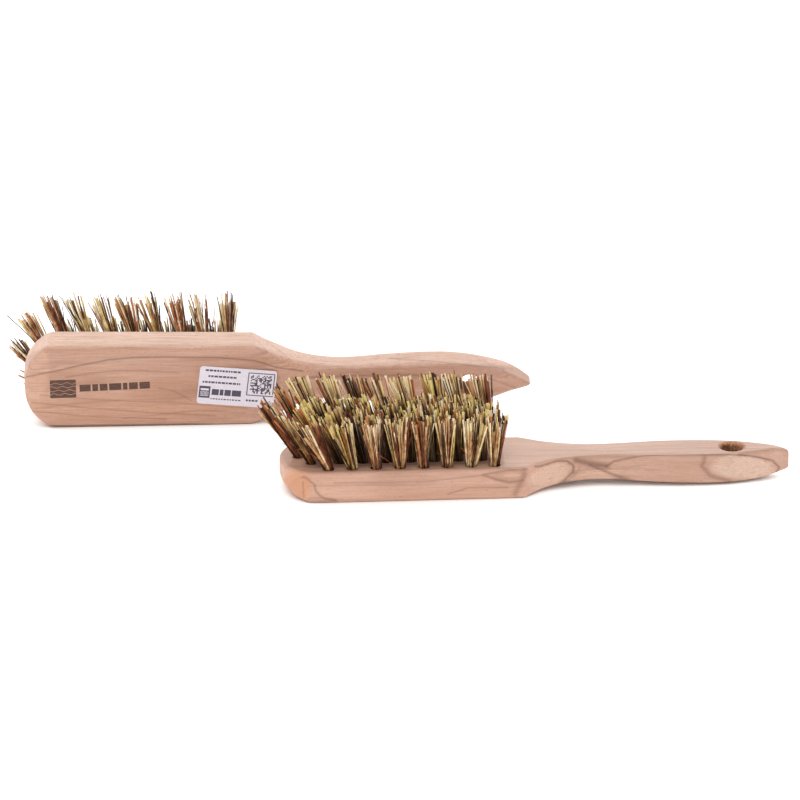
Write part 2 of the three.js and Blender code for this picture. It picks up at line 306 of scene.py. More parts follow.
def build_wood(name, which, corner, m, mats, split):
    verts, faces = wood_body(which, corner)
    ob = mesh_object(name, place(m, verts), faces, mats)
    cv, cf = [], []

    def add(v, f):
        base = len(cv)
        cv.extend(v)
        cf.extend([tuple(i + base for i in q) for q in f])

    for row in layout(which):
        for x, y in row:
            add(*lathe_cutter([(3.35, THICK - HOLE_DEPTH), (3.35, THICK - 0.35), (3.65, THICK + 0.02), (3.65, THICK + 2)], x, y, 20))
    r0 = 6.25
    prof = []
    rr = 2.6
    for a in np.linspace(0, math.pi / 2, 9):
        prof.append((r0 + rr * (1 - math.sin(a)), 1.35 + rr * (1 - math.cos(a))))
    prof = [(r0 + 5, -2), (r0 + rr + 0.9, 1.0)] + prof
    for a in np.linspace(math.pi / 2, 0, 9):
        prof.append((r0 + rr * (1 - math.sin(a)), THICK + 0.05 - rr * (1 - math.cos(a))))
    prof += [(r0 + rr + 0.9, THICK + 0.35), (r0 + 5, THICK + 2)]
    hv, hf = lathe_cutter(prof, 0, 0, 64)
    # the rounding at the rim is wider across the handle than along it
    hv = [(HANG[0] + a * 1.0, HANG[1] + (b if math.hypot(a, b) < r0 + 0.01 else b * (1 + 0.16 * min(1, (math.hypot(a, b) - r0) / rr))), c) for a, b, c in hv]
    add(hv, hf)
    cutter = mesh_object(name + "_cutter", place(m, cv), cf, [])
    for o in (ob, cutter):
        me = o.data
        import bmesh

        bm = bmesh.new()
        bm.from_mesh(me)
        bmesh.ops.recalc_face_normals(bm, faces=bm.faces)
        bm.to_mesh(me)
        bm.free()
    mod = ob.modifiers.new("holes", "BOOLEAN")
    mod.operation = "DIFFERENCE"
    mod.object = cutter
    mod.solver = "MANIFOLD" if "MANIFOLD" in mod.bl_rna.properties["solver"].enum_items else "EXACT"
    bpy.context.view_layer.update()
    dg = bpy.context.evaluated_depsgraph_get()
    new = bpy.data.meshes.new_from_object(ob.evaluated_get(dg))
    ob.modifiers.clear()
    ob.data = new
    bpy.data.objects.remove(cutter)
    new.polygons.foreach_set("use_smooth", [True] * len(new.polygons))
    new.set_sharp_from_angle(angle=math.radians(32))
    # the first material up to x = split, the second beyond it
    inv = np.linalg.inv(m)
    co = np.empty(len(new.polygons) * 3)
    new.polygons.foreach_get("center", co)
    px = (co.reshape(-1, 3) / MM) @ inv[0, :3] + inv[0, 3]
    new.materials.clear()
    for mt in mats:
        new.materials.append(mt)
    new.polygons.foreach_set("material_index", (px > split).astype(np.int32))
    return ob


# ---------------------------------------------------------------- materials
def nodes_of(name):
    m = bpy.data.materials.new(name)
    m.use_nodes = True
    nt = m.node_tree
    bsdf = nt.nodes["Principled BSDF"]
    return m, nt, bsdf


def lin(c):
    return tuple((v / 12.92 if v <= 0.04045 else ((v + 0.055) / 1.055) ** 2.4) for v in (x / 255 for x in c)) + (1.0,)


class Net:
    """Short node building."""

    def __init__(self, nt):
        self.nt = nt

    def node(self, kind, **kw):
        n = self.nt.nodes.new(kind)
        for k, v in kw.items():
            setattr(n, k, v)
        return n

    def link(self, a, b):
        self.nt.links.new(a, b)

    def put(self, sock, v):
        if hasattr(v, "links") or isinstance(v, bpy.types.NodeSocket):
            self.link(v, sock)
        else:
            sock.default_value = v

    def math(self, op, a, b=0.0, c=None, clamp=False):
        n = self.node("ShaderNodeMath", operation=op, use_clamp=clamp)
        self.put(n.inputs[0], a)
        self.put(n.inputs[1], b)
        if c is not None:
            self.put(n.inputs[2], c)
        return n.outputs[0]

    def mix(self, f, a, b, blend="MIX"):
        n = self.node("ShaderNodeMix", data_type="RGBA", blend_type=blend)
        self.put(n.inputs["Factor"], f)
        self.put(n.inputs[6], a)
        self.put(n.inputs[7], b)
        return n.outputs[2]

    def ramp(self, f, stops, interp="LINEAR"):
        n = self.node("ShaderNodeValToRGB")
        n.color_ramp.interpolation = interp
        els = n.color_ramp.elements
        while len(els) < len(stops):
            els.new(0.5)
        for e, (p, c) in zip(els, stops):
            e.position = p
            e.color = c if len(c) == 4 else (*c, 1)
        self.link(f, n.inputs[0])
        return n.outputs[0]

    def noise(self, vec, scale, detail=3.0, rough=0.5, dist=0.0):
        n = self.node("ShaderNodeTexNoise")
        n.inputs["Scale"].default_value = scale
        n.inputs["Detail"].default_value = detail
        n.inputs["Roughness"].default_value = rough
        n.inputs["Distortion"].default_value = dist
        self.link(vec, n.inputs["Vector"])
        return n.outputs["Fac"]

    def mapping(self, vec, loc=(0, 0, 0), rot=(0, 0, 0), scale=(1, 1, 1), kind="POINT"):
        n = self.node("ShaderNodeMapping", vector_type=kind)
        n.inputs["Location"].default_value = loc
        n.inputs["Rotation"].default_value = rot
        n.inputs["Scale"].default_value = scale
        self.link(vec, n.inputs["Vector"])
        return n.outputs[0]

    def sep(self, vec):
        n = self.node("ShaderNodeSeparateXYZ")
        self.link(vec, n.inputs[0])
        return n.outputs[0], n.outputs[1], n.outputs[2]

    def comb(self, x, y, z):
        n = self.node("ShaderNodeCombineXYZ")
        for s, v in zip(n.inputs, (x, y, z)):
            self.put(s, v)
        return n.outputs[0]


def brush_coords(net, m):
    """Brush coordinates in millimetres from the object's own coordinates."""
    tc = net.node("ShaderNodeTexCoord")
    rot = Matrix([list(r[:3]) for r in m[:3]]).to_euler("XYZ")
    loc = tuple(m[:3, 3] * MM)
    v = net.mapping(tc.outputs["Object"], loc=loc, rot=tuple(rot), scale=(MM, MM, MM), kind="TEXTURE")
    return v


def bump_at(net, x, y, z, c, s, amp):
    """A smooth hill in the ring field at c, with reach s."""
    terms = []
    for v, cc, ss in zip((x, y, z), c, s):
        t = net.math("DIVIDE", net.math("SUBTRACT", v, cc), ss)
        terms.append(net.math("MULTIPLY", t, t))
    r = net.math("ADD", net.math("ADD", terms[0], terms[1]), terms[2])
    g = net.math("EXPONENT", net.math("MULTIPLY", r, -1.0))
    return net.math("MULTIPLY", g, amp)


def near_line(net, px, ps, pts, width):
    """1 on the polyline through pts, falling off over width."""
    p = net.comb(px, ps, 0.0)
    best = None
    for (ax, ay), (bx_, by_) in zip(pts, pts[1:]):
        abx, aby = bx_ - ax, by_ - ay
        ll = abx * abx + aby * aby
        pa = net.node("ShaderNodeVectorMath", operation="SUBTRACT")
        net.link(p, pa.inputs[0])
        pa.inputs[1].default_value = (ax, ay, 0)
        dot = net.node("ShaderNodeVectorMath", operation="DOT_PRODUCT")
        net.link(pa.outputs[0], dot.inputs[0])
        dot.inputs[1].default_value = (abx / ll, aby / ll, 0)
        t = net.math("MULTIPLY", dot.outputs["Value"], 1.0, clamp=True)
        sc = net.node("ShaderNodeVectorMath", operation="SCALE")
        sc.inputs[0].default_value = (abx, aby, 0)
        net.link(t, sc.inputs["Scale"])
        df = net.node("ShaderNodeVectorMath", operation="DISTANCE")
        net.link(pa.outputs[0], df.inputs[0])
        net.link(sc.outputs[0], df.inputs[1])
        d = df.outputs["Value"]
        best = d if best is None else net.math("MINIMUM", best, d)
    q = net.math("DIVIDE", best, width)
    return net.math("EXPONENT", net.math("MULTIPLY", net.math("MULTIPLY", q, q), -1.0))


def zone(net, px, ps, c, r):
    """A soft-edged oval."""
    a = net.math("DIVIDE", net.math("SUBTRACT", px, c[0]), r[0])
    b = net.math("DIVIDE", net.math("SUBTRACT", ps, c[1]), r[1])
    d = net.math("ADD", net.math("MULTIPLY", a, a), net.math("MULTIPLY", b, b))
    return net.math("DIVIDE", net.math("SUBTRACT", 1.25, d), 0.55, clamp=True)


def hole_colour(net, v, x, y, col):
    """The hanging hole shows end grain at its rim, with painted shade deep inside, heavier on its left side."""
    hx = net.math("SUBTRACT", x, HANG[0])
    hy = net.math("SUBTRACT", y, HANG[1])
    hr = net.math("SQRT", net.math("ADD", net.math("MULTIPLY", hx, hx), net.math("MULTIPLY", hy, hy)))
    rough_n = net.noise(net.mapping(v, scale=(0.8, 0.8, 0.5)), 1.0, 3.0, 0.6)
    hr = net.math("ADD", hr, net.math("MULTIPLY", net.math("SUBTRACT", rough_n, 0.5), 2.2))
    rim = net.math("DIVIDE", net.math("SUBTRACT", 8.6, hr), 1.6, clamp=True)
    col = net.mix(net.math("MULTIPLY", rim, 0.80), col, net.ramp(rough_n, [(0.35, lin((120, 72, 44))), (0.52, lin((184, 122, 78))), (0.66, lin((216, 158, 108)))]))
    # painted shade deep inside the hole, heavier towards its left side
    deep = net.math("DIVIDE", net.math("SUBTRACT", 7.1, hr), 0.7, clamp=True)
    shaded_side = net.math("DIVIDE", net.math("SUBTRACT", 4.0, hx), 7.0, clamp=True)
    col = net.mix(net.math("MULTIPLY", deep, net.math("ADD", 0.25, net.math("MULTIPLY", shaded_side, 0.5))), col, lin((70, 40, 26)))
    return col, rim


def beech(name, m, seed, tilt, spacing, hills, light, which, lines, zones, hole):
    mat, nt, bsdf = nodes_of(name)
    net = Net(nt)
    v = brush_coords(net, m)
    x, y, z = net.sep(v)
    big = net.mapping(v, loc=(seed, seed * 0.7, 0), scale=(0.006, 0.03, 0.03))
    wob = net.noise(big, 1.0, 2.0, 0.45)
    mid = net.mapping(v, loc=(seed * 2.0, 0, seed), scale=(0.02, 0.1, 0.1))
    wob2 = net.noise(mid, 1.0, 3.0, 0.5)
    # rings: layers tilted across the board, slowly waving along it
    u = net.math("ADD", net.math("MULTIPLY", y, math.sin(tilt)), net.math("MULTIPLY", z, math.cos(tilt)))
    u = net.math("ADD", u, net.math("MULTIPLY", x, 0.035))
    u = net.math("ADD", u, net.math("MULTIPLY", net.math("SUBTRACT", wob, 0.5), 34.0))
    u = net.math("ADD", u, net.math("MULTIPLY", net.math("SUBTRACT", wob2, 0.5), 5.0))
    for c, s, amp in hills:
        u = net.math("ADD", u, bump_at(net, x, y, z, c, s, amp))
    ring = net.math("FRACT", net.math("DIVIDE", u, spacing))
    band = net.ramp(
        ring,
        [
            (0.0, (0.10, 0.10, 0.10)),
            (0.30, (0.02, 0.02, 0.02)),
            (0.78, (0.30, 0.30, 0.30)),
            (0.93, (0.80, 0.80, 0.80)),
            (0.975, (1, 1, 1)),
            (1.0, (0.12, 0.12, 0.12)),
        ],
    )
    # how strong each ring shows wanders along the board
    strong = net.noise(net.mapping(v, loc=(9, seed, 3), scale=(0.012, 0.05, 0.05)), 1.0, 2.0, 0.5)
    strong = net.ramp(strong, [(0.40, (0.05, 0.05, 0.05)), (0.66, (1, 1, 1))])
    band = net.math("MULTIPLY", band, strong)
    # streaks of several widths
    wide = net.noise(net.mapping(v, loc=(seed, 4, 1), scale=(0.010, 0.42, 0.42)), 1.0, 3.0, 0.6)
    fine = net.noise(net.mapping(v, loc=(seed, 0, 0), scale=(0.035, 1.3, 1.3)), 1.0, 4.0, 0.65)
    hair = net.noise(net.mapping(v, loc=(0, seed, 0), scale=(0.12, 4.2, 4.2)), 1.0, 3.0, 0.62)
    flow = net.noise(net.mapping(v, loc=(2, 5, seed), scale=(0.018, 0.14, 0.14)), 1.0, 3.0, 0.5)
    base = net.ramp(
        flow,
        [(0.30, lin(light[0])), (0.5, lin(light[1])), (0.70, lin(light[2]))],
    )
    # the drawn features lie on the wrapped surface: round the near edge on the front brush, over the upper edge on the rear one
    wx = net.math("ADD", x, net.math("MULTIPLY", net.math("SUBTRACT", wob2, 0.5), 5.0))
    if which == "front":
        edge = net.node("ShaderNodeMapRange", interpolation_type="SMOOTHSTEP")
        net.link(x, edge.inputs["Value"])
        for k, val in (("From Min", 138.0), ("From Max", 172.0), ("To Min", 27.0), ("To Max", 11.4)):
            edge.inputs[k].default_value = val
        over = net.math("MAXIMUM", net.math("ADD", y, edge.outputs[0]), 0.0)
        s = net.math("ADD", z, over)
    else:
        s = net.math("SUBTRACT", y, z)
    s = net.math("ADD", s, net.math("MULTIPLY", net.math("SUBTRACT", fine, 0.5), 0.9))
    s = net.math("ADD", s, net.math("MULTIPLY", net.math("SUBTRACT", wob2, 0.5), 1.2))
    for c, r, k, colour in zones:
        base = net.mix(net.math("MULTIPLY", zone(net, wx, s, c, r), k), base, lin(colour))
    col = net.mix(net.math("MULTIPLY", band, 0.42), base, lin(light[3]))
    col = net.mix(net.math("MULTIPLY", net.ramp(wide, [(0.40, (1, 1, 1)), (0.52, (0, 0, 0)), (0.64, (0.9, 0.9, 0.9))]), 0.16), col, lin(light[4]))
    col = net.mix(net.math("MULTIPLY", net.ramp(wide, [(0.60, (0, 0, 0)), (0.68, (1, 1, 1))]), 0.22), col, lin(light[5]))
    col = net.mix(net.math("MULTIPLY", net.ramp(fine, [(0.47, (0, 0, 0)), (0.70, (1, 1, 1))]), 0.34 if which == "front" else 0.46), col, lin(light[4]))
    col = net.mix(net.math("MULTIPLY", net.ramp(fine, [(0.30, (1, 1, 1)), (0.46, (0, 0, 0))]), 0.22), col, lin(tuple(min(255, t * 1.1 + 6) for t in light[0])))
    col = net.mix(net.math("MULTIPLY", net.ramp(hair, [(0.53, (0, 0, 0)), (0.70, (1, 1, 1))]), 0.36 if which == "front" else 0.48), col, lin(light[5]))
    # short dark flecks of the rays
    fl = net.noise(net.mapping(v, loc=(seed, 3, 1), rot=(0, 0, 0.06), scale=(0.42, 2.4, 2.4)), 1.0, 2.0, 0.55)
    fleck = net.ramp(fl, [(0.635, (0, 0, 0)), (0.70, (1, 1, 1))])
    col = net.mix(net.math("MULTIPLY", fleck, 0.45 if which == "front" else 0.62), col, lin((132, 88, 64)))
    soft = net.math("ADD", 0.55, net.math("MULTIPLY", wob2, 0.9), clamp=True)
    for pts, width, strength in lines:
        k = net.math("MULTIPLY", net.math("MULTIPLY", near_line(net, wx, s, pts, width), soft), strength * (1.4 if which == "front" else 1.5))
        col = net.mix(k, col, lin((116, 78, 58)))
    if which == "front":
        # the handle is a little darker than the head
        grip = net.math("DIVIDE", net.math("SUBTRACT", x, 138.0), 40.0, clamp=True)
        col = net.mix(grip, col, (0.87, 0.87, 0.87, 1.0), blend="MULTIPLY")
    ro = net.math("ADD", 0.40, net.math("MULTIPLY", fine, 0.16))
    bsdf.inputs["Specular IOR Level"].default_value = 0.5
    if hole:
        col, rim = hole_colour(net, v, x, y, col)
        ro = net.math("ADD", ro, net.math("MULTIPLY", rim, 0.5), clamp=True)
    else:
        # painted shade on the wood between the tufts, where they keep the light off; the same mask makes it rougher
        tuft_shade = net.math("DIVIDE", net.math("SUBTRACT", 22.5, net.math("ABSOLUTE", y, 0.0)), 5.0, clamp=True)
        tuft_shade = net.math("MULTIPLY", tuft_shade, net.math("SUBTRACT", z, 18.0, clamp=True))
        tuft_shade = net.math("MULTIPLY", tuft_shade, net.math("DIVIDE", net.math("SUBTRACT", 131.0, x), 8.0, clamp=True))
        tuft_shade = net.math("MULTIPLY", tuft_shade, net.math("DIVIDE", net.math("SUBTRACT", x, 12.0), 10.0, clamp=True))
        col = net.mix(net.math("MULTIPLY", tuft_shade, 0.72), col, lin((84, 52, 36)))
        ro = net.math("ADD", ro, net.math("MULTIPLY", tuft_shade, 0.5), clamp=True)
    net.link(col, bsdf.inputs["Base Color"])
    net.link(ro, bsdf.inputs["Roughness"])
    h = net.math("ADD", net.math("MULTIPLY", hair, 0.6), net.math("MULTIPLY", fine, 0.4))
    h = net.math("SUBTRACT", h, net.math("MULTIPLY", fleck, 0.25))
    bump = net.node("ShaderNodeBump")
    bump.inputs["Strength"].default_value = 0.22
    bump.inputs["Distance"].default_value = 0.00016
    net.link(h, bump.inputs["Height"])
    net.link(bump.outputs[0], bsdf.inputs["Normal"])
    return mat


def fibre_material(name, m, a, b, c, cut_tip_highlight):
    """A plant fibre: streaks along it, dark where it leaves the wood, painted shade low in the middle rows, a lighter
    cut tip with a painted highlight.
    """
    mat, nt, bsdf = nodes_of(name)
    net = Net(nt)
    v = brush_coords(net, m)
    x, y, z = net.sep(v)
    n1 = net.noise(net.mapping(v, scale=(0.95, 0.95, 0.10)), 1.0, 3.0, 0.6)
    n2 = net.noise(net.mapping(v, scale=(0.33, 0.33, 0.12)), 1.0, 2.0, 0.5)
    col = net.ramp(n2, [(0.34, lin(a)), (0.5, lin(b)), (0.66, lin(c))])
    dark = net.ramp(n1, [(0.48, (0, 0, 0)), (0.72, (1, 1, 1))])
    col = net.mix(net.math("MULTIPLY", dark, 0.5), col, lin(tuple(t * 0.5 for t in b)))
    # towards the tip: the lighter colour of the cut end, together with a painted highlight where the tips catch the
    # light
    tip = net.math("DIVIDE", net.math("SUBTRACT", z, 41.0), 8.0, clamp=True)
    col = net.mix(net.math("MULTIPLY", tip, 0.60), col, lin(cut_tip_highlight))
    # painted shade: the middle rows are darker low down between the tufts, where they shade each other
    inner = net.math("DIVIDE", net.math("SUBTRACT", 19.5, net.math("ABSOLUTE", y, 0.0)), 5.0, clamp=True)
    low = net.math("DIVIDE", net.math("SUBTRACT", 46.5, z), 8.0, clamp=True)
    inner = net.math("MULTIPLY", inner, net.math("DIVIDE", net.math("SUBTRACT", x, 16.0), 9.0, clamp=True))
    col = net.mix(net.math("MULTIPLY", net.math("MULTIPLY", inner, low), 0.84), col, lin((42, 24, 14)))
    # towards the wood
    foot = net.math("SUBTRACT", 1.0, net.math("DIVIDE", net.math("SUBTRACT", z, 18.5), 13.0, clamp=True), clamp=True)
    foot = net.math("MULTIPLY", foot, foot)
    col = net.mix(net.math("MULTIPLY", foot, 0.52), col, lin((64, 34, 20)))
    net.link(col, bsdf.inputs["Base Color"])
    net.link(net.math("ADD", 0.52, net.math("MULTIPLY", n1, 0.3)), bsdf.inputs["Roughness"])
    bsdf.inputs["Specular IOR Level"].default_value = 0.16
    bump = net.node("ShaderNodeBump")
    bump.inputs["Strength"].default_value = 0.5
    bump.inputs["Distance"].default_value = 0.0002
    net.link(n1, bump.inputs["Height"])
    net.link(bump.outputs[0], bsdf.inputs["Normal"])
    return mat


FRONT_LINES = [  # (points of x and wrapped height, width, strength)
    ([(12, 17.0), (16, 14.6), (18.7, 12.0), (19.6, 8.3), (22.2, 4.9), (25.5, 2.9), (32, 1.8)], 0.7, 0.36),
    ([(12.6, 13.9), (12.2, 9.0), (12.8, 4.3)], 0.5, 0.30),
    ([(142, 18.2), (131, 18.1), (117, 15.3), (125, 12.3), (133, 10.6), (140.5, 11.4)], 0.85, 0.38),
    ([(141.0, 16.5), (140.6, 12.7), (136.0, 3.5)], 1.9, 0.30),
    ([(96.4, 3.9), (109, 7.6), (131.6, 7.3)], 0.55, 0.30),
    ([(30, 12.6), (80, 11.8), (116, 15.0)], 0.5, 0.22),
    ([(148, 20.2), (161, 19.4), (168, 17.2), (171.3, 14.1), (170.3, 10), (165.5, 5.8), (156, 4.0), (148, 3.5)], 0.75, 0.50),
    ([(173, 17.6), (190.2, 14.4)], 2.2, 0.52),
    ([(174.5, 13.0), (170.8, 8.2), (165.0, 3.6)], 0.7, 0.22),
    ([(190.2, 14.1), (195, 17.2), (212, 19.8), (272, 18.8)], 0.7, 0.42),
    ([(181, 15.0), (192.5, 9.4), (211, 2.9)], 0.9, 0.46),
    ([(247.5, 17.6), (246.0, 12.5), (251.5, 6.5), (263, 2.4)], 1.4, 0.34),
    ([(268, 19.4), (287.5, 18.5), (292.3, 15.6), (289, 9.2), (283.8, 3.2)], 0.75, 0.52),
]
FRONT_ZONES = [  # (centre, reach, strength, colour)
    ((2, 11), (15, 14), 0.85, (208, 145, 105)),
    ((133, 14.4), (10.5, 3.6), 0.42, (160, 118, 97)),
    ((133.5, 14.7), (5.2, 1.2), 0.75, (208, 168, 146)),
    ((156, 11.5), (12, 7.5), 0.70, (224, 188, 166)),
    ((186, 8.0), (13, 4.2), 0.65, (224, 184, 158)),
    ((270, 12.2), (18.0, 8.0), 0.88, (229, 196, 175)),
    ((296, 9), (5, 8), 0.5, (206, 158, 126)),
]
REAR_LINES = [
    ([(-2, -7.0), (4.8, -8.0), (19.6, -11.2), (34.5, -15.0), (50.1, -18.3), (64.1, -19.5), (83.9, -20.0), (113.5, -19.4), (137, -17.0), (150, -12.6), (166, -10.6)], 0.62, 0.42),
    ([(24.6, -6.6), (39.4, -9.3), (54.2, -10.9), (70.1, -10.7), (92, -9.0)], 0.5, 0.26),
    ([(3.8, 10.2), (34.5, 13.9), (74.1, 17.8), (113.9, 20.4)], 0.6, 0.26),
    ([(3.7, 15.9), (34.5, 19.6), (84.1, 22.4)], 0.5, 0.26),
    ([(10, 5.6), (44, 8.8), (92, 11.6), (132, 15.4)], 0.6, 0.22),
    ([(58, 21.6), (104, 16.6), (131, 18.6)], 0.5, 0.20),
    ([(79, 1.0), (88, 3.0), (93.9, 6.6), (99, 9.6)], 0.5, 0.24),
    ([(160, -5.9), (180, -6.6), (205, -7.4), (232, -7.0), (250, -4.8)], 0.9, 0.30),
    ([(218, -22.5), (228, -20.4), (239.8, -18.3), (262.8, -14.1), (286, -12.8)], 1.0, 0.22),
    ([(251.5, -6.4), (274.5, -4.8), (291.9, 1.5)], 0.7, 0.22),
]
REAR_ZONES = [
    # painted shadow along the lower edge, where the brush stands on the floor
    ((80, 27.2), (300, 1.5), 0.85, (104, 74, 58)),
    # painted sheen: the upper side lighter along the board and over the handle
    ((150, -40), (600, 13), 0.85, (234, 198, 178)),
    ((225, -26), (85, 12.5), 0.80, (236, 198, 178)),
    ((60, 14), (70, 9), 0.35, (206, 154, 124)),
    ((92, 2), (34, 9), 0.45, (180, 130, 104)),
    ((160, -14), (16, 9), 0.35, (232, 186, 162)),
    ((6, -12), (9, 22), 0.35, (228, 182, 156)),
]
FRONT_SHADES = [(214, 172, 150), (206, 163, 141), (198, 154, 131), (138, 97, 76), (186, 142, 118), (150, 110, 88)]
REAR_SHADES = [(202, 162, 141), (191, 149, 127), (180, 137, 113), (122, 80, 60), (166, 121, 97), (130, 90, 70)]


def wood_pair(which, m, seed, tilt, spacing, hills, shades, lines, zones, split):
    """Head and handle: one board, each with the features that lie on it."""
    out = []
    for part in ("head", "handle"):
        def keep(a, b, reach):
            return (a - reach < split) if part == "head" else (b + reach > split)

        ls = [q for q in lines if keep(min(p[0] for p in q[0]), max(p[0] for p in q[0]), 3 * q[1] + 3)]
        zs = [q for q in zones if keep(q[0][0] - 1.12 * q[1][0], q[0][0] + 1.12 * q[1][0], 3)]
        out.append(beech(f"beech_{which}_{part}", m, seed, tilt, spacing, hills, shades, which, ls, zs, part == "handle"))
    return out


front_wood = wood_pair("front", FRONT, 3.7, 0.9, 9.5, [((262, -12, 9), (30, 9, 8), 5.0)], FRONT_SHADES, FRONT_LINES, FRONT_ZONES, 144.5)
rear_wood = wood_pair("rear", REAR, 8.3, 1.05, 10.0, [((20, -24, 3), (16, 8, 8), 4.0)], REAR_SHADES, REAR_LINES, REAR_ZONES, 156.0)

# each fibre colour: name, three tones, and a lighter cut-tip colour that also carries a painted highlight
PALETTE = [
    ("straw", (238, 212, 148), (216, 184, 116), (180, 142, 84), (246, 226, 164)),
    ("cream", (250, 232, 196), (234, 206, 160), (200, 162, 118), (252, 238, 206)),
    ("yellow", (231, 204, 120), (206, 173, 90), (158, 126, 62), (246, 227, 144)),
    ("olive", (172, 143, 94), (140, 110, 69), (102, 78, 50), (206, 182, 122)),
    ("tan", (206, 156, 106), (178, 124, 80), (140, 90, 56), (224, 186, 140)),
    ("orange", (194, 114, 62), (160, 86, 44), (116, 58, 30), (204, 138, 86)),
    ("russet", (138, 74, 46), (106, 54, 33), (72, 36, 22), (150, 92, 60)),
    ("brown", (106, 66, 44), (76, 46, 30), (50, 30, 20), (124, 84, 58)),
    ("dark", (56, 34, 24), (36, 22, 15), (22, 13, 9), (72, 48, 36)),
    ("slate", (94, 82, 84), (68, 58, 61), (42, 34, 38), (116, 104, 104)),
]
FIB_FRONT = [fibre_material("fibre_" + p[0] + "_front", FRONT, *p[1:]) for p in PALETTE]
FIB_REAR = [fibre_material("fibre_" + p[0] + "_rear", REAR, *p[1:]) for p in PALETTE]

# ---------------------------------------------------------------- wooden bodies
wood_front = build_wood("wood_body_front", "front", 142.0, FRONT, front_wood, 144.5)
wood_rear = build_wood("wood_body_rear", "rear", 136.0, REAR, rear_wood, 156.0)
for ob, body, node in ((wood_front, "front_brush", "front_brush_wood"), (wood_rear, "rear_brush", "rear_brush_wood")):
    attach(ob, body)
    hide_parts(node)

# ---------------------------------------------------------------- fibres
FLOOR_CLEAR = 0.35


def tip_of(which, row, x, end):
    t = SPLAY[which]
    near = np.interp(x, [r[0] for r in t], [r[1] for r in t])
    far = np.interp(x, [r[0] for r in t], [r[2] for r in t])
    dx = near * (4 - row) / 4 + far * row / 4
    outer = row in (0, 4)
    side = np.sign(row - 2)
    if which == "front":
        if end:
            return dx, side * 14, 33
        return dx, side * (17.5 if outer else 5.2), 33.5 if outer else 29.3
    if end:
        return dx, side * 8, 32.5
    return dx, (-8 if row == 0 else 9.6 if row == 4 else side * 4), 34 if outer else 31


# how common each fibre colour is in a tuft: straw, cream, yellow, olive, tan, orange, russet, brown, dark, slate
TONES = {
    "light": [0.20, 0.26, 0.05, 0.07, 0.13, 0.06, 0.06, 0.07, 0.09, 0.01],
    "mid": [0.14, 0.18, 0.04, 0.07, 0.16, 0.09, 0.11, 0.10, 0.10, 0.01],
    "brown": [0.07, 0.13, 0.02, 0.04, 0.15, 0.16, 0.18, 0.13, 0.11, 0.01],
    "dark": [0.06, 0.08, 0.02, 0.05, 0.08, 0.09, 0.15, 0.20, 0.25, 0.02],
    "inner": [0.17, 0.11, 0.20, 0.12, 0.08, 0.05, 0.07, 0.08, 0.11, 0.01],
}
FRONT_NEAR = ["brown", "mid", "brown", "mid", "brown", "light", "light", "mid"]
FRONT_FAR = ["mid", "light", "dark", "mid", "light", "mid", "dark", "brown"]
REAR_UPPER = ["brown", "mid", "light", "brown", "mid", "mid", "brown", "light"]


